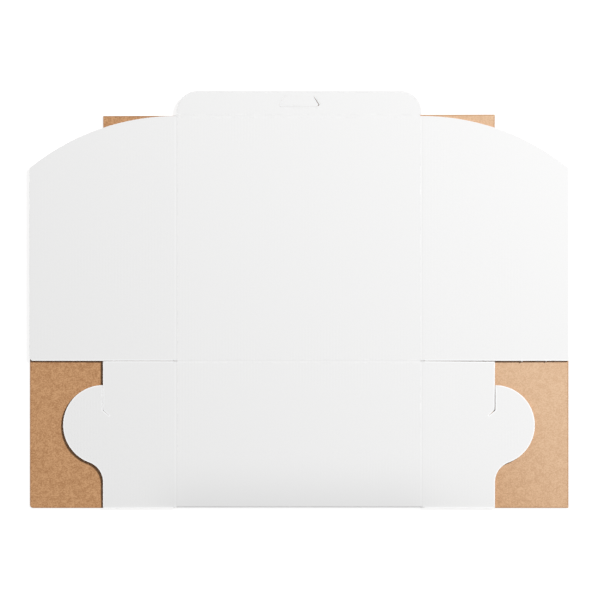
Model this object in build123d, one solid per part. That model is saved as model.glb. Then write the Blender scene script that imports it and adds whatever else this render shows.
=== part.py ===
from build123d import *
import os
from math import pi, sqrt

# A cake box of fine corrugated board, knocked down flat. The board is white outside and
# kraft inside. The whole box is one die-cut sheet, folded over once, along the crease
# between the bottom and the back wall, and it lies on its bottom panel:
# the lower leaf, kraft side up, is the bottom, the two side walls and the front wall with
# its two corner tabs;
# the upper leaf, white side up, is the back wall with its two corner tabs, and the lid
# with its two side flaps and its tuck flap.
#
# Millimetres. X runs along the fold, Y from the fold towards the tuck flap, Z up. The
# origin is at the middle of the footprint, on the surface that the box lies on.

# Board, creases and cuts
BOARD = 1.5                 # thickness of the board
LEAF_GAP = 1.8              # air between the two leaves, since the fold springs back a little
CREASE_DEPTH = 0.5          # how far a crease is pressed into the white face
CREASE_RULE = 2.5           # radius of the round groove that a crease leaves
PANEL_SLIT = 1.3            # width of the slit between a corner tab and the panel beside it
CUT_WIDTH = 0.4             # width of a plain cut inside a panel

# Walls, bottom and lid
BOX_WIDTH = 256.0           # between the two long creases
BOX_DEPTH = 256.0           # bottom panel, from the fold to the front wall's crease
WALL_HEIGHT = 152.8         # back wall, from the outside of the fold to the lid's crease
FRONT_WALL_DROP = 0.6       # how much lower the front wall is, so that the lid closes on it
SIDE_WALL_RISE = 0.2        # how much the side walls and the lid's side flaps are longer
LID_SHORTFALL = 0.5         # how much shorter the lid is than the bottom

# Lid side flaps
FLAP_ARC_RADIUS = 242.0     # front edge of a side flap, an arc centred on the long crease
FLAP_CORNER_CUT = 2.6       # small cut corner at the foot of the left flap
WALL_CORNER_RADIUS = 3.3    # worn round corner of the left side wall, beside the fold

# Tuck flap and its lock tongue
TUCK_DEPTH = 26.2           # from the tuck crease to the free edge
TUCK_CORNER_RADIUS = 22.4
TUCK_SIDE_INSET = 0.3       # the tuck flap is this much narrower than the lid on each side
TONGUE_HINGE_INSET = 5.3    # from the tuck flap's free edge to the tongue's hinge line
TONGUE_LENGTH = 11.4        # from the hinge line to the tongue's free end
TONGUE_SHOULDER = 9.2       # from the hinge line to the widest place
TONGUE_HINGE_HALF = 15.6    # half-widths of the tongue at its hinge, shoulders and free end
TONGUE_SHOULDER_HALF = 21.3
TONGUE_END_HALF = 19.5

# Corner tabs and their round lock ears
TAB_LENGTH = 76.2           # from the long crease to the tab's end line
EAR_RADIUS = 41.5           # the ear is a circle centred on the end line
EAR_DROP = 66.4             # from the back wall's top to the ear's centre
EAR_FILLET = 21.7           # hollow curve from the ear's underside back to the end line
EAR_SLIT_LENGTH = 26.1      # slit down the end line from the top of the ear
EAR_SLIT_TOP = 0.3          # width of that slit at its mouth and at its foot
EAR_SLIT_FOOT = 1.0
NICK_IN = 6.1               # slanting nick at the slit's foot, towards the crease and down
NICK_DOWN = 5.4

# Slots that the ears and the tongue lock into
SLOT_CLEARANCE = 1.0        # room round an ear or the tongue in its slot
TONGUE_CATCH = 0.5          # how far the slot's upper edge stands above the tongue's end

# Heights of the board's faces
LOWER_KRAFT_Z = BOARD
UPPER_KRAFT_Z = LOWER_KRAFT_Z + LEAF_GAP
UPPER_WHITE_Z = UPPER_KRAFT_Z + BOARD

# The fold: a half ring of board that turns the bottom over into the back wall
BEND_OUTER = UPPER_WHITE_Z / 2
BEND_INNER = BEND_OUTER - BOARD
# A cut that ends at the fold halves the developed length of the bend, so the cut edges
# of the side walls and corner tabs lie this far inside the outside of the fold, or
# outside it where the value is negative.
CUT_EDGE_INSET = BEND_OUTER - pi * (BEND_OUTER + BEND_INNER) / 4

# Sizes that follow from the others
LID_DEPTH = BOX_DEPTH - LID_SHORTFALL
FRONT_WALL_HEIGHT = WALL_HEIGHT - FRONT_WALL_DROP
SIDE_WALL_HEIGHT = WALL_HEIGHT + SIDE_WALL_RISE
EAR_HEIGHT = WALL_HEIGHT - EAR_DROP
EAR_TOP = EAR_HEIGHT + EAR_RADIUS
EAR_FOOT = EAR_HEIGHT - sqrt((EAR_RADIUS + EAR_FILLET) ** 2 - EAR_FILLET**2)
SLIT_FOOT = EAR_TOP - EAR_SLIT_LENGTH

# Places of the creases and edges
CREASE_X = BOX_WIDTH / 2
SIDE_EDGE_X = CREASE_X + SIDE_WALL_HEIGHT
FOLD_Y = -(WALL_HEIGHT + LID_DEPTH + TUCK_DEPTH) / 2
LID_CREASE_Y = FOLD_Y + WALL_HEIGHT
TUCK_CREASE_Y = LID_CREASE_Y + LID_DEPTH
FREE_EDGE_Y = TUCK_CREASE_Y + TUCK_DEPTH
FRONT_CREASE_Y = FOLD_Y + BOX_DEPTH
RIM_Y = FRONT_CREASE_Y + FRONT_WALL_HEIGHT
TONGUE_HINGE_Y = FREE_EDGE_Y - TONGUE_HINGE_INSET


def panel(x_from, x_to, y_from, y_to):
    """A rectangle of board in plan, between two X and two Y lines."""
    middle = Pos((x_from + x_to) / 2, (y_from + y_to) / 2)
    return middle * Rectangle(x_to - x_from, y_to - y_from)


def upper(outline):
    """Board of the upper leaf: the outline, thickened between its kraft and white faces."""
    return Pos(Z=UPPER_KRAFT_Z) * extrude(outline, BOARD)


def lower(outline):
    """Board of the lower leaf, lying with its white face on the ground."""
    return extrude(outline, BOARD)


def mirrored(shape, side):
    """A shape drawn for the right side (1), or its mirror image on the left (-1)."""
    return shape if side > 0 else mirror(shape, about=Plane.YZ)


def groove(start, end, face_z, outwards):
    """The round groove that a crease leaves in a white face.

    start and end are the crease's ends in plan, face_z is the height of the white face,
    and outwards is 1 where that face looks up and -1 where it looks down.
    """
    start = Vector(*start, face_z)
    end = Vector(*end, face_z)
    away = Vector(0, 0, outwards)
    across = Plane(origin=start, x_dir=away.cross(end - start), z_dir=end - start)
    half = sqrt(CREASE_RULE**2 - (CREASE_RULE - CREASE_DEPTH) ** 2)
    section = make_face(
        [
            ThreePointArc((-half, 0), (0, -CREASE_DEPTH), (half, 0)),
            Polyline((half, 0), (half, CREASE_DEPTH), (-half, CREASE_DEPTH), (-half, 0)),
        ]
    )
    return extrude(across * section, (end - start).length)


def upper_creases():
    """Grooves in the top of the upper leaf: two long ones, the lid's and the tuck flap's."""
    lines = [((side * CREASE_X, FOLD_Y), (side * CREASE_X, TUCK_CREASE_Y)) for side in (-1, 1)]
    lines += [((-CREASE_X, y), (CREASE_X, y)) for y in (LID_CREASE_Y, TUCK_CREASE_Y)]
    return [groove(start, end, UPPER_WHITE_Z, 1) for start, end in lines]


def lower_creases():
    """Grooves in the underside of the lower leaf: two long ones and the front wall's."""
    lines = [((side * CREASE_X, FOLD_Y), (side * CREASE_X, RIM_Y)) for side in (-1, 1)]
    lines += [((-CREASE_X, FRONT_CREASE_Y), (CREASE_X, FRONT_CREASE_Y))]
    return [groove(start, end, 0, -1) for start, end in lines]


def ear_outline():
    """A lock ear in plan, drawn outwards from the end line at X = 0, from its foot up.

    Its edge is a circle about a point on the end line. A hollow curve, which touches the
    circle and the end line, leads from the circle's underside back to the tab.
    """
    centre = Vector(0, EAR_HEIGHT)
    hollow = Vector(EAR_FILLET, EAR_FOOT)
    towards_hollow = (hollow - centre).normalized()
    meeting = centre + towards_hollow * EAR_RADIUS
    foot = Vector(0, EAR_FOOT)
    halfway = hollow + (foot - hollow - towards_hollow * EAR_FILLET).normalized() * EAR_FILLET
    top = Vector(0, EAR_TOP)
    edges = [
        Line(foot, top),
        ThreePointArc(top, centre + Vector(EAR_RADIUS, 0), meeting),
        ThreePointArc(meeting, halfway, foot),
    ]
    return make_face(edges)


def ear_slit():
    """The cut that frees the top of an ear, with the slanting nick at its foot."""
    above = EAR_TOP + CUT_WIDTH
    corners = [
        (0, above),
        (EAR_SLIT_TOP, above),
        (EAR_SLIT_FOOT, SLIT_FOOT),
        (-NICK_IN, SLIT_FOOT - NICK_DOWN),
        (0, SLIT_FOOT + EAR_SLIT_FOOT),
    ]
    return make_face(Polyline(*corners, close=True))


def corner_tab(bottom_crease_y, foot, top):
    """A right corner tab in plan, with its ear.

    bottom_crease_y is the line from which its wall rises, and foot and top are the
    heights of the tab's two long edges on that wall.
    """
    strip = panel(0, TAB_LENGTH, foot, top)
    ear = Pos(TAB_LENGTH, 0) * (ear_outline() - ear_slit())
    tab = strip - Pos(TAB_LENGTH, 0) * ear_slit() + ear
    return Pos(CREASE_X, bottom_crease_y) * tab


def ear_slots():
    """The two slots in the right side wall, where the front and back ears lock."""
    lowest = EAR_FOOT - SLOT_CLEARANCE
    highest = SLIT_FOOT + SLOT_CLEARANCE
    half = (BOARD + SLOT_CLEARANCE) / 2
    lines = (FOLD_Y + TAB_LENGTH, FRONT_CREASE_Y - TAB_LENGTH)
    return [panel(CREASE_X + lowest, CREASE_X + highest, y - half, y + half) for y in lines]


def tongue_slot():
    """The slot in the front wall that the tuck flap's tongue springs into."""
    half_width = TONGUE_SHOULDER_HALF + SLOT_CLEARANCE
    tongue_end_depth = TUCK_DEPTH - TONGUE_HINGE_INSET - TONGUE_LENGTH
    upper_edge = RIM_Y - tongue_end_depth + TONGUE_CATCH
    height = BOARD + 2 * SLOT_CLEARANCE
    return panel(-half_width, half_width, upper_edge - height, upper_edge)


def side_wall(side):
    """A side wall in plan, slotted for the ears. The left one has a worn round corner."""
    foot = FOLD_Y + CUT_EDGE_INSET
    wall = panel(CREASE_X, SIDE_EDGE_X, foot, FRONT_CREASE_Y - PANEL_SLIT / 2)
    wall -= ear_slots()
    if side < 0:
        corner = wall.vertices().sort_by_distance((SIDE_EDGE_X, foot, 0))[0]
        wall = fillet(corner, WALL_CORNER_RADIUS)
    return mirrored(wall, side)


def folded_strip():
    """Front wall, bottom, fold and back wall: one strip of board, folded over on itself.

    The section in the YZ plane runs along the ground, round the fold and back over the
    bottom as far as the lid's crease, and is carried along X for the width of the box.
    """
    bend_y = FOLD_Y + BEND_OUTER
    section = make_face(
        [
            Line((RIM_Y, 0), (bend_y, 0)),
            ThreePointArc((bend_y, 0), (FOLD_Y, BEND_OUTER), (bend_y, UPPER_WHITE_Z)),
            Line((bend_y, UPPER_WHITE_Z), (LID_CREASE_Y, UPPER_WHITE_Z)),
            Line((LID_CREASE_Y, UPPER_WHITE_Z), (LID_CREASE_Y, UPPER_KRAFT_Z)),
            Line((LID_CREASE_Y, UPPER_KRAFT_Z), (bend_y, UPPER_KRAFT_Z)),
            ThreePointArc(
                (bend_y, UPPER_KRAFT_Z), (FOLD_Y + BOARD, BEND_OUTER), (bend_y, LOWER_KRAFT_Z)
            ),
            Line((bend_y, LOWER_KRAFT_Z), (RIM_Y, LOWER_KRAFT_Z)),
            Line((RIM_Y, LOWER_KRAFT_Z), (RIM_Y, 0)),
        ]
    )
    return extrude(Plane.YZ * section, BOX_WIDTH / 2, both=True)


def folded_sheet():
    """All of the sheet that no flap crease frees: both side walls and the front wall with
    its corner tabs, joined to the folded strip and creased underneath."""
    sheet = folded_strip()
    for side in (-1, 1):
        front_tab = corner_tab(FRONT_CREASE_Y, PANEL_SLIT / 2, FRONT_WALL_HEIGHT)
        sheet += lower(side_wall(side))
        sheet += lower(mirrored(front_tab, side))
    sheet -= lower(tongue_slot())
    sheet -= lower_creases()
    sheet -= upper_creases()
    return sheet


def back_corner_tab(side):
    """A corner tab of the back wall, lying over the side wall with its ear."""
    tab = corner_tab(FOLD_Y, CUT_EDGE_INSET, WALL_HEIGHT - PANEL_SLIT / 2)
    return upper(mirrored(tab, side)) - upper_creases()


def lid_panel():
    """The lid, between the long creases and from its own crease to the tuck flap's."""
    return upper(panel(-CREASE_X, CREASE_X, LID_CREASE_Y, TUCK_CREASE_Y)) - upper_creases()


def lid_side_flap(side):
    """A side flap of the lid. An arc takes its front corner off, so that it slides in."""
    foot = LID_CREASE_Y + PANEL_SLIT / 2
    flap = panel(CREASE_X, SIDE_EDGE_X, foot, TUCK_CREASE_Y)
    flap &= Pos(CREASE_X, TUCK_CREASE_Y - FLAP_ARC_RADIUS) * Circle(FLAP_ARC_RADIUS)
    if side < 0:
        corner = flap.vertices().sort_by_distance((SIDE_EDGE_X, foot, 0))[0]
        flap = chamfer(corner, FLAP_CORNER_CUT)
    return upper(mirrored(flap, side)) - upper_creases()


def tongue_outline(margin):
    """The lock tongue in plan, hanging from its hinge line: it widens to its shoulders and
    is cut back to its free end. margin draws it smaller on its three cut edges."""
    end_y = TONGUE_HINGE_Y - TONGUE_LENGTH + margin
    shoulder_y = TONGUE_HINGE_Y - TONGUE_SHOULDER
    right = [
        (TONGUE_HINGE_HALF - margin, TONGUE_HINGE_Y),
        (TONGUE_SHOULDER_HALF - margin, shoulder_y),
        (TONGUE_END_HALF - margin, end_y),
    ]
    left = [(-x, y) for x, y in reversed(right)]
    return make_face(Polyline(*right, *left, close=True))


def tuck_flap():
    """The tuck flap along the lid's front, with round corners and the tongue's window."""
    half_width = CREASE_X - TUCK_SIDE_INSET
    flap = panel(-half_width, half_width, TUCK_CREASE_Y, FREE_EDGE_Y)
    flap = fillet(flap.vertices().group_by(Axis.Y)[-1], TUCK_CORNER_RADIUS)
    return upper(flap - tongue_outline(0)) - upper_creases()


def lock_tongue():
    """The tongue in the tuck flap, cut free on three sides."""
    return upper(tongue_outline(CUT_WIDTH))


PIECES = {
    "folded_base_sheet": folded_sheet(),
    "lid_panel": lid_panel(),
    "lid_side_flap_left": lid_side_flap(-1),
    "lid_side_flap_right": lid_side_flap(1),
    "tuck_flap": tuck_flap(),
    "lock_tongue": lock_tongue(),
    "back_corner_tab_left": back_corner_tab(-1),
    "back_corner_tab_right": back_corner_tab(1),
}

os.makedirs("parts", exist_ok=True)
for name, shape in PIECES.items():
    export_step(shape, f"parts/{name}.step")
    size = shape.bounding_box().size
    print(f"{name}: {len(shape.solids())} solid, {shape.volume:.0f} mm3, "
          f"{size.X:.1f} x {size.Y:.1f} x {size.Z:.2f} mm")
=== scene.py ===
# %% [markdown]
# # A cake box, knocked down flat
# The real thing is one sheet of fine corrugated board, white outside and kraft inside, cut and
# creased by a die and folded over once. From above it is nearly a drawing in white on white,
# so its looks depend on small true things: how a crease dents the liner, how a cut edge shows
# its flutes, how the fold springs back, and how the kraft liner is mottled.
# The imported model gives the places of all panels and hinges, and everything here fits it.

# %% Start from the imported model
import math

import bmesh
import bpy
import numpy as np
from mathutils.geometry import delaunay_2d_cdt
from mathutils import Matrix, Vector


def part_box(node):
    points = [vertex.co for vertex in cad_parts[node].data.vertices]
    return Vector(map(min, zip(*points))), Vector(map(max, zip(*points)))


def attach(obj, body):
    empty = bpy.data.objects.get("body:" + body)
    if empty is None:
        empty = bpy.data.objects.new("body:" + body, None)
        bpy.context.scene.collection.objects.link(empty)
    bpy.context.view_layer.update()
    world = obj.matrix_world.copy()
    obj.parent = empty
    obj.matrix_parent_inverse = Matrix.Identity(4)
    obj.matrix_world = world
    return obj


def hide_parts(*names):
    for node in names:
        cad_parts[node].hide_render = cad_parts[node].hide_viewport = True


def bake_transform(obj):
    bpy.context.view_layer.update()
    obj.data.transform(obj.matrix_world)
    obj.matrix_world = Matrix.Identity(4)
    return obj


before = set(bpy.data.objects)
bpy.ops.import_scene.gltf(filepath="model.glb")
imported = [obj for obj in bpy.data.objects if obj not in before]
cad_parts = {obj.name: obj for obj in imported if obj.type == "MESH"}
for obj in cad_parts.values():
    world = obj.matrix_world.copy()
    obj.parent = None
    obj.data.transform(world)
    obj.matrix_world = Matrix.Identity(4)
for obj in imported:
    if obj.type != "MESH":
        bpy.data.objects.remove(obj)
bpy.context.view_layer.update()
print("packed pieces:", sorted(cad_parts))

# %% [markdown]
# ## Lines of the box
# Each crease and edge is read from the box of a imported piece, so this script holds no second
# drawing of the blank. Only what a box can't tell, such as a radius, is written down here.

# %% Lines and sizes
MM = 0.001
lid_low, lid_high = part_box("lid_panel")
flap_low, flap_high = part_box("lid_side_flap_right")
WHITE_Z = lid_high.z
BOARD = lid_high.z - lid_low.z
CREASE_X = lid_high.x
SIDE_X = flap_high.x
LID_Y = lid_low.y
TUCK_Y = lid_high.y
RIM_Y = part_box("folded_base_sheet")[1].y
FLAP_FOOT_Y = flap_low.y
TAB_FOOT_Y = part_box("back_corner_tab_right")[0].y
PANEL_SLIT = 2 * (FLAP_FOOT_Y - LID_Y)

BOX_DEPTH = 256 * MM
WALL_HEIGHT = 152.8 * MM
FOLD_Y = LID_Y - WALL_HEIGHT
FRONT_Y = FOLD_Y + BOX_DEPTH
print(f"board {BOARD / MM:.2f} mm, white face at {WHITE_Z / MM:.2f}, fold at {FOLD_Y / MM:.1f}")

# %% [markdown]
# ## Outlines
# An outline is a closed loop of points that keeps the board on its left. Straight runs and
# arcs are joined, then every stretch is divided: finely where it crosses the flutes, so that
# each flute can show in the cut edge, and coarsely where it runs along them.

# %% Draw outlines
FLUTE_PITCH = 3.2 * MM
STEP_ACROSS = FLUTE_PITCH / 8
STEP_ALONG = 4 * MM
ARC_STEP = 0.9 * MM


def arc(centre, radius, start, end):
    """Points at equal angles on a circle, from start to end in degrees: the centre plus
    the radius times (cosine, sine) of the angle."""
    count = max(8, math.ceil(abs(math.radians(end - start)) * radius / ARC_STEP))
    angle = np.radians(np.linspace(start, end, count))
    return np.array(centre) + radius * np.column_stack([np.cos(angle), np.sin(angle)])


def mirrored(loop):
    """The loop on the other side of the box: X changes sign, and the order turns round."""
    return (loop * [-1, 1])[::-1]


def divided(loop):
    """The loop with each stretch cut into equal steps. Their number is the stretch's run in
    X over one step across the flutes, plus its run in Y over one step along them."""
    ahead = np.roll(loop, -1, axis=0) - loop
    steps = np.ceil(np.abs(ahead[:, 0]) / STEP_ACROSS + np.abs(ahead[:, 1]) / STEP_ALONG)
    steps = np.maximum(steps, 1).astype(int)
    stretch = np.repeat(np.arange(len(loop)), steps)
    first = np.cumsum(steps) - steps
    share = (np.arange(steps.sum()) - first[stretch]) / steps[stretch]
    return loop[stretch] + ahead[stretch] * share[:, None]


def inwards(loop):
    """At each point, the step into the board that keeps both neighbouring edges one unit
    away: the sum of their left normals, divided by one plus the cosine of the turn. The
    divisor is kept at half or more, so that the step at a needle's tip stays short."""
    ahead = np.roll(loop, -1, axis=0) - loop
    ahead /= np.linalg.norm(ahead, axis=1)[:, None]
    left = np.column_stack([-ahead[:, 1], ahead[:, 0]])
    before = np.roll(left, 1, axis=0)
    spread = np.maximum(1 + (left * before).sum(axis=1), 1 / 2)
    return (left + before) / spread[:, None]


print(f"{len(divided(mirrored(arc((0, 0), 0.1, 0, 90))))} points on a quarter of a 0.1 m circle")

# %% [markdown]
# ## Corners of an outline
# Moving an outline into the board makes it cross itself at a sharp corner, unless the points
# near that corner are gathered. These two helpers find the corners and move the loop.

# %% Corners and insets
SHARP_TURN = 25


def corners(loop):
    """The convex corners that turn by more than SHARP_TURN degrees. For each: its index, the
    tangent of half its turn, and how far along the loop every point lies from it."""
    ahead = np.roll(loop, -1, axis=0) - loop
    length = np.linalg.norm(ahead, axis=1)
    behind = np.roll(ahead, 1, axis=0)
    turn = np.arctan2(behind[:, 0] * ahead[:, 1] - behind[:, 1] * ahead[:, 0],
                      (behind * ahead).sum(axis=1))
    travelled = np.cumsum(length) - length
    found = []
    for index in np.flatnonzero(turn > math.radians(SHARP_TURN)):
        gap = np.abs(travelled - travelled[index])
        gap = np.minimum(gap, length.sum() - gap)
        found.append((index, math.tan(turn[index] / 2), gap))
    return found


def moved_in(loop, step, inset, sharp):
    """The loop moved into the board by inset. Points too near a convex corner for that
    share the corner's own new place, so that the ring never folds over itself."""
    moved = loop + step * inset
    for index, tangent, gap in sharp:
        moved[gap < inset * tangent] = moved[index]
    return moved


square = np.array([[0, 0], [1, 0], [1, 1], [0, 1.0]])
print("corners of a square:", len(corners(square)))

# %% [markdown]
# ## How the board lies
# A panel is drawn flat, then laid in place by a function of its plan point and its depth
# below the white face. The fold is pressed nearly shut, but the sheet springs back, so the
# back wall climbs out of the fold in a shallow curve, and that shades it. The side panels
# droop a little about their creases. The folded sheet itself is drawn unfolded: past the
# bottom its points run round the bend and back over it, as the real sheet was folded. The
# bend is squarer than half a circle, because the board was creased before it was folded.

# %% Lay the upper and the lower leaf
BEND_OUTER = 1.62 * MM
BEND_MIDDLE = BEND_OUTER - BOARD / 2
BEND_INSET = 0.5 * MM
BEND_Y = FOLD_Y + BEND_INSET + BEND_OUTER
BEND_LENGTH = math.pi * BEND_MIDDLE
BEND_POWER = 2 / 3
FALL = WHITE_Z - 2 * BEND_OUTER
FALL_REACH = 74 * MM
FALL_OF_TABS = 0.45
TAB_LENGTH = 76.2 * MM
DROOP = 1.0 * MM
NOTCH = 0.3 * MM


def smooth(t):
    """0 below 0, 1 above 1, and between them 3 t squared minus 2 t cubed, an even S curve."""
    t = np.clip(t, 0, 1)
    return t * t * (3 - 2 * t)


def leaf_fall(x, y):
    """How far the white face lies below the lid's level: the fall into the fold, which fades
    as the fourth power of the distance left, plus the side panels' droop, a slope in X.
    Towards the tabs' ends the fall lessens to FALL_OF_TABS of itself."""
    left = 1 - np.clip((y - BEND_Y) / FALL_REACH, 0, 1)
    beyond = np.clip(np.abs(x) - CREASE_X, 0, None)
    share = 1 - (1 - FALL_OF_TABS) * smooth(beyond / TAB_LENGTH)
    return FALL * left**4 * share + DROOP * beyond / (SIDE_X - CREASE_X)


def lay_upper(x, y, depth):
    """A point of the upper leaf: its white face is up, and depth goes down from it."""
    return np.column_stack([x, y, WHITE_Z - depth - leaf_fall(x, y)])


def lay_sheet(x, v, depth):
    """A point of the folded sheet, where v runs from the back wall's top, round the fold, to
    the front wall's top. On the ground v is Y. In the bend the point turns about the bend's
    middle line, where the sine and cosine are raised to a power below 1 to square the bend.
    Past it the point lies on the upper leaf, as far on as v has gone."""
    flat = np.abs(x) > CREASE_X + NOTCH / 2
    angle = np.clip((BEND_Y - v) / BEND_MIDDLE, 0, np.pi)
    sine, cosine = np.sin(angle) ** BEND_POWER, np.cos(angle)
    cosine = np.sign(cosine) * np.abs(cosine) ** BEND_POWER
    radius = BEND_OUTER - depth
    back = np.clip(BEND_Y - BEND_LENGTH - v, 0, None)
    y = BEND_Y - radius * sine + np.clip(v - BEND_Y, 0, None) + back
    z = BEND_OUTER - radius * cosine + np.where(back > 0, FALL - leaf_fall(x, y), 0)
    return np.column_stack([x, np.where(flat, v, y), np.where(flat, depth, z)])


print(f"the fold takes {BEND_LENGTH / MM:.2f} mm of board, and the wall climbs {FALL / MM:.2f} mm")

# %% [markdown]
# ## The cut edge
# The die leaves a crushed lip and, below it, the open flutes: a wave of brown paper between
# two liners. Cut across, the wave shows whole. Cut along, it shows as one long channel. Both
# come from one formula of X and depth, so an arc-cut edge passes from one to the other.

# %% Flutes
LINER = 0.22 * MM
MEDIUM = 0.2 * MM
FLUTE_DEPTH = 0.8 * MM
LIP_FALL = 0.015 * MM
LIP_WIDTH = 0.4 * MM
RIM_WIDTH = 1.7 * MM
WALL_ROWS = 7
SEAM_REACH = 0.2
PAPER_EDGE = 0.1 * MM


def flute_hollow(x, depth):
    """1 in the air of a flute and 0 in paper, with a soft edge PAPER_EDGE wide. The wave's
    middle line is a sine of X. Cut upright, its paper is thicker where the wave is steep, by
    the square root of one plus the slope squared."""
    wave = 2 * np.pi * x / FLUTE_PITCH
    swing = BOARD / 2 - LINER - MEDIUM / 2
    slope = swing * 2 * np.pi / FLUTE_PITCH * np.cos(wave)
    off = np.abs(depth - BOARD / 2 - swing * np.sin(wave))
    paper = MEDIUM / 2 * np.sqrt(1 + slope**2)
    in_core = (depth > LINER) & (depth < BOARD - LINER)
    return np.where(in_core, smooth((off - paper) / PAPER_EDGE), 0)


def edge_profile():
    """Inset and depth of each row of points that is carried round an outline: over the white
    rim and lip, down the cut edge, and back under the kraft lip and rim."""
    wall = np.linspace(LIP_FALL, BOARD - LIP_FALL / 2, WALL_ROWS + 2)
    wall[1], wall[-2] = LINER, BOARD - LINER
    inset = np.concatenate([[RIM_WIDTH, LIP_WIDTH], np.zeros(len(wall)), [LIP_WIDTH, RIM_WIDTH]])
    depth = np.concatenate([[0, 0], wall, [BOARD, BOARD]])
    return inset, depth


print(f"{len(edge_profile()[0])} rows of points down a cut edge")

# %% [markdown]
# ## The faces of a panel
# Inside the rims the two faces are flat, but they bend with the leaf, so they are filled with
# triangles over a grid of points. Blender's own Delaunay triangulation does that for any
# outline, and triangles whose middle lies in a hole are left out.

# %% Points inside an outline
GRID = 8 * MM
ROW_SPACE = 1.5 * MM
POINTS_AT_ONCE = 400


def grid_points(outer, rows=()):
    """An even grid over the outline's box, with extra rows of points at the given Y. The
    grid's own rows keep ROW_SPACE away from the extra ones."""
    low, high = outer.min(axis=0), outer.max(axis=0)
    xs = np.arange(low[0] + GRID / 2, high[0], GRID)
    ys = np.arange(low[1] + GRID / 2, high[1], GRID)
    ys = ys[[np.min(np.abs(y - np.asarray(rows)), initial=GRID) > ROW_SPACE for y in ys]]
    ys = np.concatenate([ys, rows])
    return np.stack(np.meshgrid(xs, ys), -1).reshape(-1, 2)


def inside(points, loops, margin):
    """Which points lie within the loops: those from which a line to the right crosses them
    an odd number of times. Points nearer to a loop than the margin don't count."""
    a = np.concatenate(loops)
    b = np.concatenate([np.roll(loop, -1, axis=0) for loop in loops])
    keep = []
    for part in np.array_split(points, max(1, len(points) // POINTS_AT_ONCE)):
        x, y = part[:, :1], part[:, 1:]
        spans = (a[:, 1] > y) != (b[:, 1] > y)
        rise = np.where(b[:, 1] == a[:, 1], 1, b[:, 1] - a[:, 1])
        crossing = a[:, 0] + (y - a[:, 1]) / rise * (b[:, 0] - a[:, 0])
        odd = (spans & (x < crossing)).sum(axis=1) % 2 == 1
        clear = (np.hypot(a[:, 0] - x, a[:, 1] - y) > margin).all(axis=1)
        keep.append(odd & clear)
    return np.concatenate(keep)


print("grid on a 0.1 m square:", len(grid_points(square * 0.1)), "points")

# %% Fill a face
SAME_PLACE = 1e-7


def filled(loops, points):
    """Triangles between closed loops and through extra points, as rows of three indices.
    The loops' points are counted first, then the extra ones."""
    every = np.concatenate([*loops, points])
    start = np.cumsum([0] + [len(loop) for loop in loops])
    edges = [np.column_stack([np.arange(a, b), np.roll(np.arange(a, b), -1)])
             for a, b in zip(start[:-1], start[1:])]
    edges = np.concatenate(edges).tolist()
    found = delaunay_2d_cdt(every.tolist(), edges, [], 2, SAME_PLACE)
    source = np.array([origin[0] for origin in found[3]])
    triangles = source[np.array(found[2])]
    return triangles[inside(every[triangles].mean(axis=1), loops, 0)]


print("triangles in a square:", len(filled([square], np.array([[0.5, 0.5]]))))

# %% [markdown]
# ## Paper: what its materials share
# Three finishes meet on this board: the white liner, the kraft liner and the cut edge. They
# share two effects, so each is a node group, built once. Paper fibre is noise drawn out along
# X, because the fibres of a liner run across the flutes. Flute ribs are a sine of X about a
# hundredth of a millimetre high: the liner is glued to the wave and dips between its tips.

# %% Groups, numbers and colours in nodes


def node_group(name, inputs, outputs):
    """A new group with named number inputs, each with its usual value, and named outputs."""
    group = bpy.data.node_groups.new(name, "ShaderNodeTree")
    for label, value in inputs:
        socket = group.interface.new_socket(label, in_out="INPUT", socket_type="NodeSocketFloat")
        socket.default_value = value
    for label in outputs:
        group.interface.new_socket(label, in_out="OUTPUT", socket_type="NodeSocketFloat")
    return group, group.nodes.new("NodeGroupInput"), group.nodes.new("NodeGroupOutput")


def put(tree, socket, value):
    """Set a socket to a number or a colour, or link another node's output to it."""
    if isinstance(value, bpy.types.NodeSocket):
        tree.links.new(value, socket)
    else:
        socket.default_value = value


def calc(tree, operation, *values):
    """The result of a Math node on numbers or outputs."""
    node = tree.nodes.new("ShaderNodeMath")
    node.operation = operation
    for socket, value in zip(node.inputs, values):
        put(tree, socket, value)
    return node.outputs["Value"]


def eased(tree, value, low, high):
    """0 while the value is below low, 1 when above high, with an even S curve between."""
    node = tree.nodes.new("ShaderNodeMapRange")
    node.interpolation_type = "SMOOTHSTEP"
    put(tree, node.inputs["Value"], value)
    node.inputs["From Min"].default_value = low
    node.inputs["From Max"].default_value = high
    return node.outputs["Result"]


def mixed(tree, factor, first, second):
    """The first colour where factor is 0, the second where it is 1."""
    node = tree.nodes.new("ShaderNodeMix")
    node.data_type = "RGBA"
    put(tree, node.inputs[0], factor)
    put(tree, node.inputs[6], first)
    put(tree, node.inputs[7], second)
    return node.outputs[2]


print("helpers for numbers and colours:", [f.__name__ for f in (calc, eased, mixed)])

# %% Places and noise in nodes


def attribute(tree, name):
    """A value kept on the mesh's vertices."""
    node = tree.nodes.new("ShaderNodeAttribute")
    node.attribute_name = name
    return node.outputs["Fac"]


def place(tree, stretch=(1, 1, 1)):
    """The Object coordinates, in metres, drawn out by scaling them along each axis."""
    source = tree.nodes.new("ShaderNodeTexCoord")
    mapping = tree.nodes.new("ShaderNodeMapping")
    mapping.inputs["Scale"].default_value = stretch
    tree.links.new(source.outputs["Object"], mapping.inputs["Vector"])
    return mapping.outputs["Vector"]


def noise(tree, vector, scale, detail=2.0):
    """A noise value from 0 to 1, of features about one over scale metres wide."""
    node = tree.nodes.new("ShaderNodeTexNoise")
    put(tree, node.inputs["Vector"], vector)
    put(tree, node.inputs["Scale"], scale)
    node.inputs["Detail"].default_value = detail
    return node.outputs["Fac"]


print("helpers for places:", [f.__name__ for f in (attribute, place, noise)])

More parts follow.
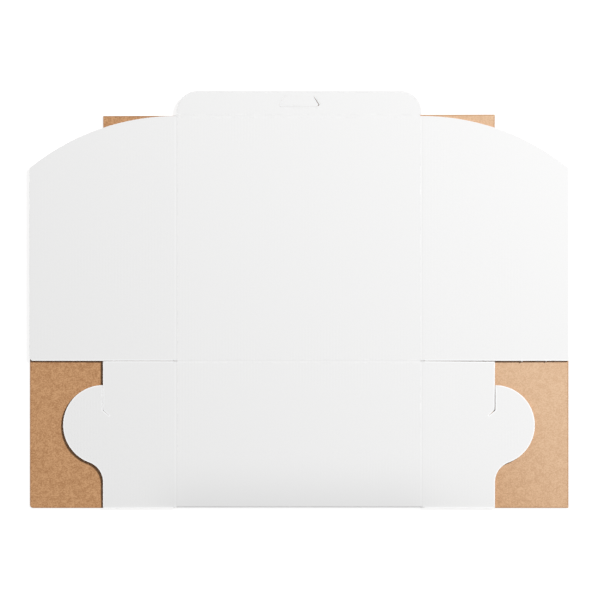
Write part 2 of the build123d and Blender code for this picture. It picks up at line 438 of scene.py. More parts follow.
# %% Shared effects
FIBRE_SCALE = 1000.0
FIBRE_STRETCH = (0.8, 1, 1)
FIBRE_DETAIL = 3.0
CLOUD_SCALE = 0.16
RIB_STRETCH = (1, 0.25, 1)
RIB_NOISE = 40.0
RIB_RANGE = (0.25, 0.7)


def make_fibre_group():
    """Paper fibre: fine noise drawn out along X, and wide soft clouds of pulp, whose noise
    has CLOUD_SCALE times the fibre's scale."""
    scale = [("Scale", FIBRE_SCALE)]
    group, given, result = node_group("paper fibre", scale, ["Fibre", "Clouds"])
    fibre = noise(group, place(group, FIBRE_STRETCH), given.outputs["Scale"], FIBRE_DETAIL)
    wide = calc(group, "MULTIPLY", given.outputs["Scale"], CLOUD_SCALE)
    clouds = noise(group, place(group), wide)
    group.links.new(fibre, result.inputs["Fibre"])
    group.links.new(clouds, result.inputs["Clouds"])
    return group


def make_rib_group():
    """Flute ribs: the sine of two pi times X over the pitch, made uneven by multiplying it
    with slow noise, drawn out along the flutes."""
    group, given, result = node_group("flute ribs", [("Pitch", FLUTE_PITCH)], ["Height"])
    split = group.nodes.new("ShaderNodeSeparateXYZ")
    group.links.new(place(group), split.inputs["Vector"])
    turns = calc(group, "DIVIDE", split.outputs["X"], given.outputs["Pitch"])
    wave = calc(group, "SINE", calc(group, "MULTIPLY", turns, 2 * math.pi))
    slow = noise(group, place(group, RIB_STRETCH), RIB_NOISE)
    strength = eased(group, slow, *RIB_RANGE)
    group.links.new(calc(group, "MULTIPLY", wave, strength), result.inputs["Height"])
    return group


FIBRE = make_fibre_group()
RIBS = make_rib_group()
print("groups:", [group.name for group in (FIBRE, RIBS)])

# %% [markdown]
# ## Three finishes of the board
# The white liner is matt and almost even. Its cut lip is pressed smooth, and a painted
# highlight makes it the whitest line. The kraft liner is mottled by its pulp, and the die
# burnishes it to a darker, redder brown along a cut. The cut edge shows white liner, with the
# lip's painted highlight, brown wave and kraft liner by depth. Each vertex of the mesh carries
# two values for this: how near it is to a cut, and how deep in the board.
#
# Light and shade are painted into two tones, so they stay under any lamp. By the fold the
# white is greyed with painted shade: the real wall looks darker there than this shallow curve
# makes it, probably because it tips down further, and the painted shade adds the rest. The
# kraft has a painted sheen: it is paler towards the upper right, where the lamp stands.

# %% Materials with a relief
RIB_HEIGHT = 0.007 * MM


def new_material(name, roughness, specular):
    """A material with one Principled shader of the given gloss, and its node tree."""
    material = bpy.data.materials.new(name)
    material.use_nodes = True
    shader = material.node_tree.nodes["Principled BSDF"]
    shader.inputs["Roughness"].default_value = roughness
    shader.inputs["Specular IOR Level"].default_value = specular
    return material, material.node_tree, shader


def add_group(tree, group):
    """A group placed in a material."""
    node = tree.nodes.new("ShaderNodeGroup")
    node.node_tree = group
    return node


def bumped(tree, shader, height, distance, below=None):
    """A Bump node where a height of 1 stands for distance, in metres. It starts from another
    one's normal, if there is one below."""
    node = tree.nodes.new("ShaderNodeBump")
    node.inputs["Distance"].default_value = distance
    tree.links.new(height, node.inputs["Height"])
    if below is not None:
        tree.links.new(below, node.inputs["Normal"])
    tree.links.new(node.outputs["Normal"], shader.inputs["Normal"])
    return node.outputs["Normal"]


def relief(tree, shader, fibre, fibre_height):
    """The ribs of the flutes with the paper's grain on them, as a normal."""
    ribs = bumped(tree, shader, add_group(tree, RIBS).outputs["Height"], RIB_HEIGHT)
    bumped(tree, shader, fibre, fibre_height, ribs)


def plan_place(tree):
    """Object X and Y in metres, as two outputs."""
    split = tree.nodes.new("ShaderNodeSeparateXYZ")
    tree.links.new(place(tree), split.inputs["Vector"])
    return split.outputs["X"], split.outputs["Y"]


print(f"ribs {2 * RIB_HEIGHT / MM:.3f} mm high")

# %% White liner
WHITE_COLOUR = (0.865, 0.864, 0.863, 1)
WHITE_DIP = (0.853, 0.852, 0.851, 1)
# Painted shade: the white turns greyer along the fold, between the long creases.
SHADED_WHITE = (0.805, 0.805, 0.805, 1)
# Painted highlight: the white of a cut lip, brighter than the liner.
LIP_HIGHLIGHT = (0.96, 0.96, 0.96, 1)
SHADE_SIDES = (CREASE_X + 40 * MM, CREASE_X - 30 * MM)
SHADE_DEPTH = (FOLD_Y + 60 * MM, FOLD_Y - 8 * MM)
GRAIN_RANGE = (0.3, 0.7)
LIP_RANGE = (0.1, 0.55)
WHITE_GRAIN = 0.012 * MM


def white_liner():
    """Two whites mixed by the fibre. Near the fold and between the long creases they turn to
    the shaded white, a painted shade, by the product of two S curves, and at a cut to the
    lip's painted highlight."""
    material, tree, shader = new_material("white_liner", roughness=0.55, specular=0.3)
    paper = add_group(tree, FIBRE)
    grain = eased(tree, paper.outputs["Fibre"], *GRAIN_RANGE)
    tone = mixed(tree, grain, WHITE_DIP, WHITE_COLOUR)
    x, y = plan_place(tree)
    at_wall = eased(tree, calc(tree, "ABSOLUTE", x), *SHADE_SIDES)
    at_fold = eased(tree, y, *SHADE_DEPTH)
    tone = mixed(tree, calc(tree, "MULTIPLY", at_wall, at_fold), tone, SHADED_WHITE)
    lip = eased(tree, attribute(tree, "near_edge"), *LIP_RANGE)
    put(tree, shader.inputs["Base Color"], mixed(tree, lip, tone, LIP_HIGHLIGHT))
    relief(tree, shader, paper.outputs["Fibre"], WHITE_GRAIN)
    return material


print("white liner:", WHITE_COLOUR[:3])

# %% Kraft liner and cut edge
KRAFT_DARK = (0.43, 0.206, 0.082, 1)
KRAFT_LIGHT = (0.648, 0.36, 0.173, 1)
# Painted sheen: the kraft turns paler towards the upper right, where the lamp stands.
SHEEN_KRAFT_DARK = (0.655, 0.415, 0.245, 1)
SHEEN_KRAFT_LIGHT = (0.775, 0.525, 0.335, 1)
KRAFT_CUT = (0.34, 0.14, 0.04, 1)
WAVE_COLOUR = (0.36, 0.2, 0.1, 1)
PULP_FIBRE, PULP_CLOUDS = 0.75, 0.25
MOTTLE_RANGE = (0.35, 0.65)
SHEEN_SLANT = 0.75
SHEEN_ACROSS = (-80 * MM, 210 * MM)
BURNISH = 0.4
BURNISH_RANGE = (0.0, 0.6)
WHITE_ENDS = (0.1, 0.16)
KRAFT_STARTS = (0.84, 0.9)
KRAFT_GRAIN = 0.03 * MM


def kraft_liner():
    """Dark and light kraft mixed by three parts of fibre and one of clouds. Both get paler, a
    painted sheen, as X plus the slant times Y grows, and darker and redder towards a cut."""
    material, tree, shader = new_material("kraft_liner", roughness=0.5, specular=0.6)
    paper = add_group(tree, FIBRE)
    pulp = calc(tree, "ADD", calc(tree, "MULTIPLY", paper.outputs["Fibre"], PULP_FIBRE),
                calc(tree, "MULTIPLY", paper.outputs["Clouds"], PULP_CLOUDS))
    mottle = eased(tree, pulp, *MOTTLE_RANGE)
    x, y = plan_place(tree)
    slant = calc(tree, "ADD", x, calc(tree, "MULTIPLY", y, SHEEN_SLANT))
    tone = mixed(tree, eased(tree, slant, *SHEEN_ACROSS),
                 mixed(tree, mottle, KRAFT_DARK, KRAFT_LIGHT),
                 mixed(tree, mottle, SHEEN_KRAFT_DARK, SHEEN_KRAFT_LIGHT))
    at_cut = eased(tree, attribute(tree, "near_edge"), *BURNISH_RANGE)
    burnished = calc(tree, "MULTIPLY", at_cut, BURNISH)
    put(tree, shader.inputs["Base Color"], mixed(tree, burnished, tone, KRAFT_CUT))
    relief(tree, shader, paper.outputs["Fibre"], KRAFT_GRAIN)
    return material


def cut_edge():
    """White with the lip's painted highlight down to about an eighth of the board's depth, then
    the brown wave, and kraft for the last eighth. The wave's brown is mottled by the fibre."""
    material, tree, shader = new_material("cut_edge", roughness=0.8, specular=0.2)
    paper = add_group(tree, FIBRE)
    depth = attribute(tree, "depth")
    wave = mixed(tree, paper.outputs["Fibre"], WAVE_COLOUR, KRAFT_LIGHT)
    below_white = mixed(tree, eased(tree, depth, *WHITE_ENDS), LIP_HIGHLIGHT, wave)
    above_kraft = eased(tree, depth, *KRAFT_STARTS)
    put(tree, shader.inputs["Base Color"], mixed(tree, above_kraft, below_white, KRAFT_LIGHT))
    return material


BOARD_MATERIALS = [white_liner(), kraft_liner(), cut_edge()]
WHITE, KRAFT, EDGE = range(3)
print("materials:", [material.name for material in BOARD_MATERIALS])

# %% [markdown]
# ## A piece of board
# Every panel is made the same way. The edge profile is carried round each loop of its
# outline, the two faces are filled, and all points are laid in place by one function. Where
# the outline meets a crease the board isn't cut, so no flutes open there. A torn cut can lean
# out towards its foot. The edges where a face meets the cut are marked sharp, so that smooth
# shading doesn't run over them.

# %% Build a mesh


def build_mesh(name, points, faces, kinds, near, deep):
    """A closed mesh from points and faces, with a finish number for each face. near says how
    near a cut each point is, and deep how far below the white face, kept as a share of the
    board. Points in the same place become one."""
    mesh = bpy.data.meshes.new(name)
    mesh.from_pydata(points, [], [face for part in faces for face in part.tolist()])
    for label, values in (("near_edge", near), ("depth", deep / BOARD)):
        layer = mesh.attributes.new(label, "FLOAT", "POINT")
        layer.data.foreach_set("value", values.astype(np.float32))
    for material in BOARD_MATERIALS:
        mesh.materials.append(material)
    mesh.polygons.foreach_set("material_index", kinds.astype(np.int32))
    mesh.polygons.foreach_set("use_smooth", kinds != EDGE)
    solid = bmesh.new()
    solid.from_mesh(mesh)
    bmesh.ops.remove_doubles(solid, verts=solid.verts, dist=SAME_PLACE)
    if solid.calc_volume(signed=True) < 0:
        bmesh.ops.reverse_faces(solid, faces=solid.faces[:])
    for edge in solid.edges:
        finishes = {face.material_index for face in edge.link_faces}
        edge.smooth = len(finishes) == 1 or EDGE not in finishes
    open_edges = sum(not edge.is_manifold for edge in solid.edges)
    volume = solid.calc_volume() / MM**3
    solid.to_mesh(mesh)
    solid.free()
    piece = bpy.data.objects.new(name, mesh)
    bpy.context.scene.collection.objects.link(piece)
    print(f"{name}: {len(mesh.polygons)} faces, {open_edges} open edges, {volume:.0f} mm3")
    return piece


print("finish numbers of white, kraft and cut:", WHITE, KRAFT, EDGE)

# %% Carry the cut edge round an outline
ON_SEAM = 1e-6


def edge_band(loop, seams, lean, lip):
    """The profile carried round one loop: the plan and the depth of each row's points, and
    how near a cut they are. At a seam or a sharp corner the flutes close and the lip is
    square, and at a seam the rim is narrow. lean turns the loop into how far the foot of the
    cut stands out, and lip into 1 where the lip gets its painted highlight and the kraft its
    burnish."""
    inset, depth = edge_profile()
    step, sharp = inwards(loop), corners(loop)
    cut = np.ones(len(loop))
    for _, _, gap in sharp:
        cut = np.minimum(cut, smooth(gap / (2 * FLUTE_DEPTH)))
    reach = np.ones(len(loop))
    for axis, value in seams:
        at_seam = np.abs(loop[:, axis] - value) < ON_SEAM
        cut[at_seam], reach[at_seam] = 0, SEAM_REACH
    rows = step * reach[:, None]
    plan = np.stack([moved_in(loop, rows, row_inset, sharp) for row_inset in inset])
    wall = (inset == 0)[:, None]
    hollow = np.where(wall, flute_hollow(loop[:, 0], depth[:, None]) * cut, 0)
    leaning = np.where(wall, lean(loop) * depth[:, None] / BOARD, 0)
    plan += step * (hollow * FLUTE_DEPTH - leaning)[:, :, None]
    depth = np.repeat(depth[:, None], len(loop), axis=1)
    depth[2, cut == 0] = 0
    depth[-3, cut == 0] = BOARD
    near = np.clip(1 - inset / RIM_WIDTH, 0, 1)[:, None] * cut * lip(loop)
    return plan, depth, near


def band_faces(rows, count):
    """Quads between neighbouring rows of a band that closes on itself, count points long."""
    row, column = np.meshgrid(np.arange(rows - 1), np.arange(count), indexing="ij")
    a = row * count + column
    b = row * count + (column + 1) % count
    return np.stack([a, a + count, b + count, b], -1).reshape(-1, 4)


print("faces in two bands round a square:", len(band_faces(3, len(square))))

# %% Make a panel
RIM_CLEARANCE = 0.5 * MM


def nowhere(loop):
    """0 at every point."""
    return np.zeros(len(loop))


def everywhere(loop):
    """1 at every point."""
    return np.ones(len(loop))


def board_piece(name, loops, lay, seams=(), rows=(), lean=nowhere, lip=everywhere):
    """One panel. loops are its outline and its holes, lay puts a point in place, seams are
    (axis, value) lines where it meets a crease, rows are extra rows of points in Y, and lean
    and lip are what edge_band takes."""
    points, near, faces, kinds, rims, count = [], [], [], [], [], 0
    for loop in map(divided, loops):
        plan, depth, near_edge = edge_band(loop, seams, lean, lip)
        height, length = depth.shape
        points.append(np.dstack([plan, depth]).reshape(-1, 3))
        near.append(near_edge.ravel())
        faces.append(count + band_faces(height, length))
        finish = np.full(height - 1, EDGE)
        finish[:2], finish[-2:] = WHITE, KRAFT
        kinds.append(np.repeat(finish, length))
        last = count + (height - 1) * length
        rims.append((plan[0], count + np.arange(length), last + np.arange(length)))
        count += height * length
    grid = grid_points(rims[0][0], rows)
    grid = grid[inside(grid, [rim[0] for rim in rims], RIM_CLEARANCE)]
    triangles = filled([rim[0] for rim in rims], grid)
    for side, depth, finish in ((1, 0, WHITE), (2, BOARD, KRAFT)):
        number = np.concatenate([*(rim[side] for rim in rims), count + np.arange(len(grid))])
        points.append(np.column_stack([grid, np.full(len(grid), depth)]))
        near.append(np.zeros(len(grid)))
        faces.append(number[triangles] if side == 1 else number[triangles][:, ::-1])
        kinds.append(np.full(len(triangles), finish))
        count += len(grid)
    points = np.concatenate(points)
    return build_mesh(name, lay(*points.T), faces, np.concatenate(kinds),
                      np.concatenate(near), points[:, 2])


def finish_piece(piece, node, body):
    """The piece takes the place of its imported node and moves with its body."""
    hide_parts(node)
    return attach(piece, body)


print("kept clear of a rim:", RIM_CLEARANCE / MM, "mm")

# %% [markdown]
# ## The corner tabs and their ears
# Each back corner tab ends in a round lock ear that plugs into the side wall. A slit down the
# end line frees the top of the ear, and a slanting nick at its foot lets it flex. The right
# slit stands a little open. The left one is nearly shut, and shows as a hairline.

# %% Corner tabs
CREASE_HALF = 1.6 * MM
SEAM_X = CREASE_X + CREASE_HALF
INNER_X = CREASE_X - CREASE_HALF
EAR_RADIUS = 41.5 * MM
EAR_HEIGHT = 86.4 * MM
EAR_FILLET = 21.7 * MM
EAR_SLIT_LENGTH = 26.1 * MM
NICK_IN = 6.1 * MM
NICK_DOWN = 5.4 * MM
OPEN_SLIT = (0.36 * MM, 0.75 * MM, 0.1 * MM)
CLOSED_SLIT = (0.14 * MM, 0.2 * MM, 0.08 * MM)
END_X = CREASE_X + TAB_LENGTH
FOOT_LOWER = 0.14 * MM
FOOT_Y = FLAP_FOOT_Y - FOOT_LOWER

# A tab's top edge: how far out from the crease, and how far below the side flap's foot.
OPEN_TOP = ((TAB_LENGTH, 0.8 * MM), (56 * MM, 0.68 * MM), (30 * MM, 0.52 * MM),
            (CREASE_HALF, 0.34 * MM))
CLOSED_TOP = ((TAB_LENGTH, 0.44 * MM), (TAB_LENGTH - 14 * MM, 0.33 * MM), (9 * MM, 0.33 * MM),
              (7 * MM, 0.4 * MM), (CREASE_HALF, 0.4 * MM))

# Rows of points on the way out of the fold, closest together where the board curves most.
FOLD_ROWS = BEND_Y + np.array([1.5, 4, 7, 10, 14, 18, 23, 29, 36, 44, 53, 63]) * MM


def ear_run(bottom_y, slit):
    """Right edge of a corner tab: from the foot of its ear, round the hollow curve and the
    circle, down the slit's far side to the nick's blunt tip, and back up the end line. slit
    gives the slit's width at its mouth and its foot, and the width of the nick's tip."""
    mouth, foot, tip_width = slit
    centre = np.array([END_X, bottom_y + EAR_HEIGHT])
    drop = math.sqrt((EAR_RADIUS + EAR_FILLET) ** 2 - EAR_FILLET**2)
    hollow = centre + [EAR_FILLET, -drop]
    meet = math.degrees(math.atan2(drop, -EAR_FILLET))
    top = math.degrees(math.acos(mouth / EAR_RADIUS))
    foot_y = centre[1] + EAR_RADIUS - EAR_SLIT_LENGTH
    tip = [END_X - NICK_IN, foot_y - NICK_DOWN]
    run = [
        [END_X + foot / 2, foot_y],
        [tip[0] + tip_width / 2, tip[1] - tip_width / 2],
        [tip[0] - tip_width / 2, tip[1] + tip_width / 2],
        [END_X - foot / 2, foot_y + foot],
    ]
    circle = arc(centre, EAR_RADIUS, meet - 180, top)[1:]
    return np.concatenate([arc(hollow, EAR_FILLET, 180, meet), circle, run])


def corner_tab(side, hand, slit, top):
    """A back corner tab with its ear, lying over the side wall. side is 1 on the right and
    -1 on the left, slit is what ear_run takes, and top is the edge beside the side flap,
    from the end line to the crease."""
    loop = np.concatenate([
        [[SEAM_X, TAB_FOOT_Y], [END_X, TAB_FOOT_Y]],
        ear_run(FOLD_Y, slit),
        [[CREASE_X + out, FOOT_Y - gap] for out, gap in top],
    ])
    loop = loop if side > 0 else mirrored(loop)
    piece = board_piece(f"corner_tab_{hand}", [loop], lay_upper, [(0, side * SEAM_X)], FOLD_ROWS)
    return finish_piece(piece, f"back_corner_tab_{hand}", f"{hand}_tab")


corner_tab(1, "right", OPEN_SLIT, OPEN_TOP)
corner_tab(-1, "left", CLOSED_SLIT, CLOSED_TOP)

# %% [markdown]
# ## The lid and its side flaps
# The lid is a plain rectangle between four creases. A side flap's front edge is an arc about
# a point on the long crease, so that the flap slides in beside the wall as the lid closes.
# The left flap has lost the very tip of its lower corner, and at the right flap's foot stand
# two small burrs, such as are left where nicks held a blank in its sheet.

# %% Lid and side flaps
FLAP_ARC_RADIUS = 242 * MM
FLAP_CORNER_CUT = 2.6 * MM
FOOT_BAND = 1 * MM


def lid():
    """The lid panel, short of its creases by half a crease on every side."""
    low, high = LID_Y + CREASE_HALF, TUCK_Y - CREASE_HALF
    loop = np.array([[-INNER_X, low], [INNER_X, low], [INNER_X, high], [-INNER_X, high]])
    seams = [(0, -INNER_X), (0, INNER_X), (1, low), (1, high)]
    return finish_piece(board_piece("lid_board", [loop], lay_upper, seams), "lid_panel", "lid")


def at_foot(loop):
    """1 along a flap's foot, whose lip gets a painted highlight against the slit, and 0 elsewhere.
    """
    return np.where(loop[:, 1] < FOOT_Y + FOOT_BAND, 1.0, 0.0)


def side_flap(side, hand, foot):
    """A side flap: its foot's points, then the arc, from the outer edge to the crease."""
    middle = [CREASE_X, TUCK_Y - FLAP_ARC_RADIUS]
    outer = math.degrees(math.acos((SIDE_X - CREASE_X) / FLAP_ARC_RADIUS))
    inner = math.degrees(math.acos(CREASE_HALF / FLAP_ARC_RADIUS))
    loop = np.concatenate([foot, arc(middle, FLAP_ARC_RADIUS, outer, inner)])
    loop = loop if side > 0 else mirrored(loop)
    piece = board_piece(f"side_flap_{hand}", [loop], lay_upper, [(0, side * SEAM_X)], lip=at_foot)
    return finish_piece(piece, f"lid_side_flap_{hand}", f"{hand}_flap")


# How far out from the crease each burr stands, and its size.
BURRS = ((104.2 * MM, 1.2 * MM), (129.6 * MM, 0.9 * MM))
foot_start = [SEAM_X, FOOT_Y]
burrs = [[CREASE_X + out + side * size / 2, FOOT_Y + (abs(side) - 1) * size]
         for out, size in BURRS for side in (-1, 0, 1)]
lid()
side_flap(1, "right", [foot_start, *burrs, [SIDE_X, FOOT_Y]])
side_flap(-1, "left", [foot_start, [SIDE_X - FLAP_CORNER_CUT, FOOT_Y],
                       [SIDE_X, FOOT_Y + FLAP_CORNER_CUT]])

# %% [markdown]
# ## The tuck flap and its tongue
# The tuck flap closes the front. In it the lock tongue is cut free on three sides, and hangs
# from a short crease near the flap's free edge. It widens to its shoulders, which catch in
# the front wall's slot. Its right cut stands open, and the other two are almost shut. At the
# foot the board looks torn rather than cut, so each cut leans until its foot is closed, or
# nearly so.

# %% Tuck flap and tongue
TUCK_CORNER_RADIUS = 22.4 * MM
tuck_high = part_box("tuck_flap")[1]
TUCK_HALF = tuck_high.x
FREE_Y = tuck_high.y
TONGUE_HINGE_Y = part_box("lock_tongue")[1].y
TONGUE_END_Y = TONGUE_HINGE_Y - 11.4 * MM
SHOULDER_Y = TONGUE_HINGE_Y - 9.2 * MM
TONGUE_CREASE = 0.7 * MM
CUTS_Y = TONGUE_HINGE_Y - TONGUE_CREASE
WINDOW_Y = TONGUE_HINGE_Y + TONGUE_CREASE
TONGUE_GAP = 0.08 * MM
LEFT_GAP = 1.5 * TONGUE_GAP
RIGHT_GAP, RIGHT_GAP_MORE = 0.6 * MM, 0.3 * MM
HINGE_HALF, SHOULDER_HALF, END_HALF = 15.6 * MM, 21.3 * MM, 19.5 * MM


def tongue_side(margin, end_margin):
    """The tongue's right edge from its crease down, drawn in by the margins."""
    return np.array([
        [HINGE_HALF - margin, CUTS_Y],
        [SHOULDER_HALF - margin, SHOULDER_Y],
        [END_HALF - margin, TONGUE_END_Y + end_margin],
    ])


def tuck_flap():
    """The tuck flap, with the tongue's window as a hole that runs the other way round."""
    r = TUCK_CORNER_RADIUS
    right = np.concatenate([
        [[TUCK_HALF, TUCK_Y + CREASE_HALF]],
        arc([TUCK_HALF - r, FREE_Y - r], r, 0, 90),
    ])
    edge = np.concatenate([[[HINGE_HALF, WINDOW_Y]], tongue_side(0, 0)])
    seams = [(1, TUCK_Y + CREASE_HALF), (1, WINDOW_Y)]
    loops = [np.concatenate([right, mirrored(right)]), np.concatenate([edge, mirrored(edge)])]
    piece = board_piece("tuck_board", loops, lay_upper, seams, lip=nowhere)
    return finish_piece(piece, "tuck_flap", "tuck")


print(f"tongue {(TONGUE_HINGE_Y - TONGUE_END_Y) / MM:.1f} mm long")

# %% The tongue, torn free
LEAN_TOP, LEAN_MORE = 0.46 * MM, 0.36 * MM
CLOSING = 0.9
LEAN_STARTS = 1 / 20
SHOULDER_BAND = 1 * MM


def torn_foot(loop):
    """How far the tongue's cuts lean out. On the left and at the end it is CLOSING times the
    gap. On the right it is LEAN_TOP plus LEAN_MORE times the share of the way down to the
    shoulder. It grows from nothing over the first LEAN_STARTS of that way."""
    down = (CUTS_Y - loop[:, 1]) / (TONGUE_HINGE_Y - SHOULDER_Y)
    opened = LEAN_TOP + LEAN_MORE * np.clip(down, 0, 1)
    right = (loop[:, 0] > HINGE_HALF) & (loop[:, 1] > SHOULDER_Y - SHOULDER_BAND)
    return np.where(right, opened, CLOSING * TONGUE_GAP) * np.clip(down / LEAN_STARTS, 0, 1)


def tongue():
    """The tongue, smaller than its window by the width of each cut. The right cut is wider
    from the shoulder on."""
    right = tongue_side(RIGHT_GAP, TONGUE_GAP)
    right[1:, 0] -= RIGHT_GAP_MORE
    left = mirrored(tongue_side(LEFT_GAP, TONGUE_GAP))
    loop = np.concatenate([right, left])[::-1]
    seams = [(1, CUTS_Y)]
    piece = board_piece("tongue_board", [loop], lay_upper, seams, lean=torn_foot, lip=nowhere)
    return finish_piece(piece, "lock_tongue", "tongue")


tuck_flap()
tongue()

# %% [markdown]
# ## The folded sheet
# Everything that no flap crease frees is one piece: the bottom, side walls, front wall and
# front corner tabs below, the bend, and the back wall above. It is drawn as the flat blank
# was, and the laying function folds it. At the bend a narrow notch beside each long crease
# frees the side walls.

# %% Half of the blank
BACK_TOP = BEND_Y - BEND_LENGTH - (LID_Y - CREASE_HALF - BEND_Y)
BEND_ROWS = BEND_Y - np.linspace(0, BEND_LENGTH, 12)
STRIP_SPACE = 0.1 * MM
STRIP_FOOT = FOLD_Y + STRIP_SPACE
UNDER_SPACE = 0.2 * MM


def sheet_half(corner, side_x, rim_y):
    """Right half of the blank, from the back wall's top: along the wall's side and the bend,
    round the notch, which clears the foot of the tab's crease, round the side wall, its slit
    and the front corner tab, to the front wall's rim. corner gives the points of the side
    wall's outer corner by the fold."""
    bend = [[INNER_X, v] for v in BEND_ROWS[::-1]]
    notch_x, under_x, under_y = CREASE_X + NOTCH, SEAM_X + UNDER_SPACE, STRIP_FOOT + STRIP_SPACE
    back = [[INNER_X, BACK_TOP], *bend, [notch_x, BEND_Y], [notch_x, under_y],
            [under_x, under_y], [under_x, TAB_FOOT_Y]]
    side_top, tab_foot = FRONT_Y - PANEL_SLIT / 2, FRONT_Y + PANEL_SLIT / 2
    slit = [[side_x, side_top], [SEAM_X, side_top], [SEAM_X, tab_foot], [END_X, tab_foot]]
    return np.concatenate([back, corner, slit, ear_run(FRONT_Y, OPEN_SLIT), [[END_X, rim_y]]])


print("points in half of the bend:", len(BEND_ROWS))

# %% Slots, and the whole sheet
WALL_CORNER_RADIUS = 3.3 * MM
SLOT_WIDTH = 2.5 * MM
SLOT_SLACK = 1 * MM
EAR_SLOT_START = 60.4 * MM
TONGUE_SLOT_LOW, TONGUE_SLOT_HIGH = 12.5 * MM, 9 * MM
LEFT_EDGE_IN = 0.5 * MM
RIM_RIGHT, RIM_LEFT = RIM_Y + 1.75 * MM, RIM_Y + 0.2 * MM


def slot_loop(x_from, x_to, y_from, y_to):
    """A rectangular hole, clockwise, so that the board stays on its left."""
    return np.array([[x_from, y_from], [x_from, y_to], [x_to, y_to], [x_to, y_from]])


def sheet_slots():
    """The slots for the ears, two in each side wall, and the tongue's in the front wall. A
    wall folds up about its crease, so an ear's height above the bottom is, in the flat wall,
    its distance from the crease."""
    low = CREASE_X + EAR_HEIGHT - EAR_SLOT_START
    high = CREASE_X + EAR_HEIGHT + EAR_RADIUS - EAR_SLIT_LENGTH + SLOT_SLACK
    slots = [slot_loop(-SHOULDER_HALF - SLOT_SLACK, SHOULDER_HALF + SLOT_SLACK,
                       RIM_Y - TONGUE_SLOT_LOW, RIM_Y - TONGUE_SLOT_HIGH)]
    for y in (FOLD_Y + TAB_LENGTH, FRONT_Y - TAB_LENGTH):
        slot = slot_loop(low, high, y - SLOT_WIDTH / 2, y + SLOT_WIDTH / 2)
        slots += [slot, mirrored(slot)]
    return slots


def folded_sheet():
    """The blank's outline, its slots and its seams, with rows of points at the bend. The
    left half is drawn on the right and mirrored. Its wall is narrower, with a round corner."""
    r = WALL_CORNER_RADIUS
    left_x = SIDE_X - LEFT_EDGE_IN
    right = sheet_half([[SIDE_X, TAB_FOOT_Y]], SIDE_X, RIM_RIGHT)
    left = sheet_half(arc([left_x - r, TAB_FOOT_Y + r], r, -90, 0), left_x, RIM_LEFT)
    outline = np.concatenate([right, mirrored(left)])
    seams = [(0, -INNER_X), (0, INNER_X), (1, BACK_TOP)]
    wall_rows = 2 * BEND_Y - BEND_LENGTH - FOLD_ROWS
    rows = np.concatenate([BEND_ROWS, wall_rows])
    piece = board_piece("folded_board", [outline, *sheet_slots()], lay_sheet, seams, rows)
    return finish_piece(piece, "folded_base_sheet", "folded_base")


folded_sheet()

# %% [markdown]
# ## The creases
# A crease is a shallow valley pressed into the white face, with a bead on the kraft face
# behind it. Each is a closed strip of its own, laid as the panels beside it lie. A real crease
# bends when a flap is lifted.

# %% Crease strips
CREASE_DEPTH = 0.06 * MM
FAINT_DEPTH = 0.02 * MM
BEAD = 0.15 * MM
POINTS_ACROSS = 13
STRIP_STEP = 1.2 * MM
STRIP_PARTING = 0.3 * MM
BEND_MARGIN = 0.05 * MM


def strip_faces(rows, around):
    """Quads round a closed section carried along rows, and quads that close its two ends.
    The section's first half is its white face, and its second half its kraft face."""
    row, column = np.meshgrid(np.arange(rows - 1), np.arange(around), indexing="ij")
    a = row * around + column
    b = row * around + (column + 1) % around
    skin = np.stack([a, b, b + around, a + around], -1).reshape(-1, 4)
    half = around // 2
    finish = np.full(around, WHITE)
    finish[half:] = KRAFT
    finish[[half - 1, around - 1]] = EDGE
    k = np.arange(half - 1)
    cap = np.column_stack([around - 1 - k, around - 2 - k, k + 1, k])
    far_cap = cap[:, ::-1] + (rows - 1) * around
    kinds = np.concatenate([np.tile(finish, rows - 1), np.full(2 * len(k), EDGE)])
    return [skin, cap, far_cap], kinds


def crease_strip(name, start, end, parent, child, half=CREASE_HALF, dent=CREASE_DEPTH):
    """A crease from start to end, with the parent's panel on its left and the child's on its
    right; parent and child are not used. Across it, the white face dips by the dent times the
    squared cosine of the place across, and the kraft face bulges by the bead in the same way.
    Round the fold's end the parent's side follows the squared bend: its radius less its height
    there."""
    start, end = np.array(start), np.array(end)
    length = np.linalg.norm(end - start)
    along = (end - start) / length
    across = np.array([along[1], -along[0]])
    u = np.linspace(-1, 1, POINTS_ACROSS)
    bow = np.cos(u * np.pi / 2) ** 2
    section_u = np.concatenate([u, u[::-1]])
    section_depth = np.concatenate([dent * bow, BOARD + BEAD * (dent > 0) * bow])
    s = np.linspace(0, length, max(2, round(length / STRIP_STEP)))
    plan = start + along * s[:, None, None] + across * (section_u * half)[:, None]
    depth = np.tile(section_depth, len(s))
    x, y = plan.reshape(-1, 2).T
    points = lay_upper(x, y, depth)
    past = np.clip(BEND_Y - y, 0, BEND_OUTER - BEND_MARGIN)
    squared = 2 / BEND_POWER
    turn = BEND_OUTER - (BEND_OUTER**squared - past**squared) ** (1 / squared)
    points[:, 2] -= turn * np.tile(1 - smooth(section_u / 2 + 0.5), len(s))
    faces, kinds = strip_faces(len(s), len(section_u))
    piece = build_mesh(name, points, faces, kinds, np.zeros(len(points)), depth)
    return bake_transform(piece)


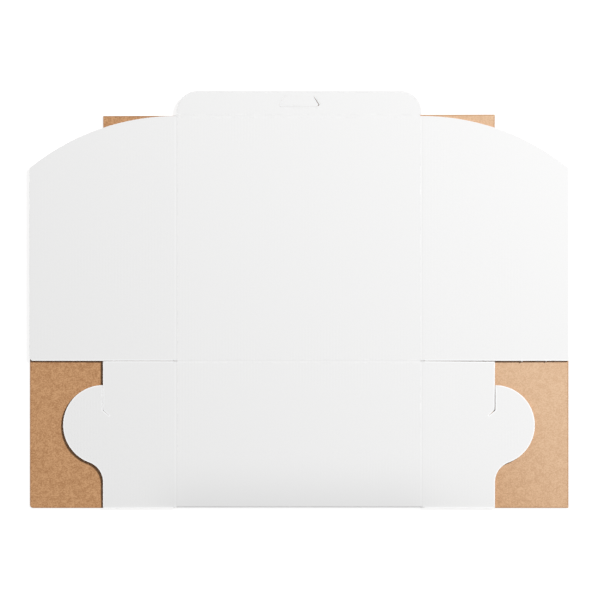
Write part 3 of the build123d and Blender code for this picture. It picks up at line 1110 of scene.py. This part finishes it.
for hand, side in (("right", 1), ("left", -1)):
    x = side * CREASE_X
    ends = [(x, STRIP_FOOT), (x, FOOT_Y - STRIP_PARTING)][::side]
    crease_strip(f"tab_crease_{hand}", *ends, "folded_base", f"{hand}_tab")
    ends = [(x, FOOT_Y), (x, TUCK_Y)][::side]
    crease_strip(f"flap_crease_{hand}", *ends, "lid", f"{hand}_flap")
crease_strip("lid_crease_strip", (INNER_X, LID_Y), (-INNER_X, LID_Y), "folded_base", "lid")
crease_strip("tuck_crease_strip", (INNER_X, TUCK_Y), (-INNER_X, TUCK_Y), "lid", "tuck",
             CREASE_HALF, FAINT_DEPTH)
crease_strip("tongue_crease_strip", (-HINGE_HALF, TONGUE_HINGE_Y), (HINGE_HALF, TONGUE_HINGE_Y),
             "tuck", "tongue", TONGUE_CREASE, FAINT_DEPTH / 4)

# %% [markdown]
# ## Floor, light and camera
# The box lies on a white sweep. The floor is lit like the box, and what the camera sees of it
# is lifted to white by emission that doesn't light the box, so that it still keeps the box's
# shadow. One soft lamp from the upper right draws the edges, and the white world fills.

# %% Floor
FLOOR_HALF = 4.0
FLOOR_LIFT = 0.88
FLOOR_WHITE = (0.85, 0.85, 0.85, 1)
FLOOR_SEEN = (0.26, 0.26, 0.26, 1)


def studio_floor():
    """A white floor. For rays from the camera, a mirror or glass, most of its colour is
    swapped for emission, so that it is seen as white and its shadow as a pale grey."""
    mesh = bpy.data.meshes.new("floor")
    corner_signs = [(-1, -1), (1, -1), (1, 1), (-1, 1)]
    points = [(x * FLOOR_HALF, y * FLOOR_HALF, 0) for x, y in corner_signs]
    mesh.from_pydata(points, [], [(0, 1, 2, 3)])
    material, tree, shader = new_material("white_floor", roughness=0.7, specular=0.2)
    shader.inputs["Emission Color"].default_value = (1, 1, 1, 1)
    path = tree.nodes.new("ShaderNodeLightPath")
    passed_on = calc(tree, "MAXIMUM", path.outputs["Is Glossy Ray"],
                     path.outputs["Is Transmission Ray"])
    seen = calc(tree, "MAXIMUM", path.outputs["Is Camera Ray"], passed_on)
    put(tree, shader.inputs["Base Color"], mixed(tree, seen, FLOOR_WHITE, FLOOR_SEEN))
    put(tree, shader.inputs["Emission Strength"], calc(tree, "MULTIPLY", seen, FLOOR_LIFT))
    mesh.materials.append(material)
    floor = bpy.data.objects.new("floor", mesh)
    bpy.context.scene.collection.objects.link(floor)
    return floor


print("floor:", studio_floor().name)

# %% Light
KEY_PLACE = (3.7, 2.9, 4.1)
KEY_SIZE = 1.0
KEY_POWER = 474.0
WORLD_STRENGTH = 0.212


def studio_light():
    """One square lamp that looks at the box, and an even white world."""
    lamp = bpy.data.lights.new("key", "AREA")
    lamp.shape = "SQUARE"
    lamp.size = KEY_SIZE
    lamp.energy = KEY_POWER
    key = bpy.data.objects.new("key", lamp)
    key.location = KEY_PLACE
    key.rotation_euler = (-key.location).to_track_quat("-Z", "Y").to_euler()
    bpy.context.scene.collection.objects.link(key)
    world = bpy.data.worlds.new("studio")
    world.use_nodes = True
    backdrop = world.node_tree.nodes["Background"]
    backdrop.inputs["Color"].default_value = (1, 1, 1, 1)
    backdrop.inputs["Strength"].default_value = WORLD_STRENGTH
    bpy.context.scene.world = world
    bpy.context.scene.view_settings.view_transform = "Standard"


studio_light()
print(f"key lamp {math.dist((0, 0, 0), KEY_PLACE):.1f} m away")

# %% Camera
PIXEL = 1.0415 * MM
IMAGE = 600
FOLD_ROW = 508
SENSOR = 36.0
CAMERA_HEIGHT = 3.0


def camera_above():
    """A camera that looks straight down. Its lens makes one pixel of a 600 pixel picture
    PIXEL wide on the white face, and its place puts the fold on its row."""
    lens = bpy.data.cameras.new("camera")
    lens.sensor_width = SENSOR
    lens.lens = SENSOR * (CAMERA_HEIGHT - WHITE_Z) / (IMAGE * PIXEL)
    camera = bpy.data.objects.new("camera", lens)
    camera.location = (PIXEL, FOLD_Y + (FOLD_ROW - IMAGE / 2) * PIXEL, CAMERA_HEIGHT)
    bpy.context.scene.collection.objects.link(camera)
    bpy.context.scene.camera = camera
    return camera


print(f"lens {camera_above().data.lens:.1f} mm")
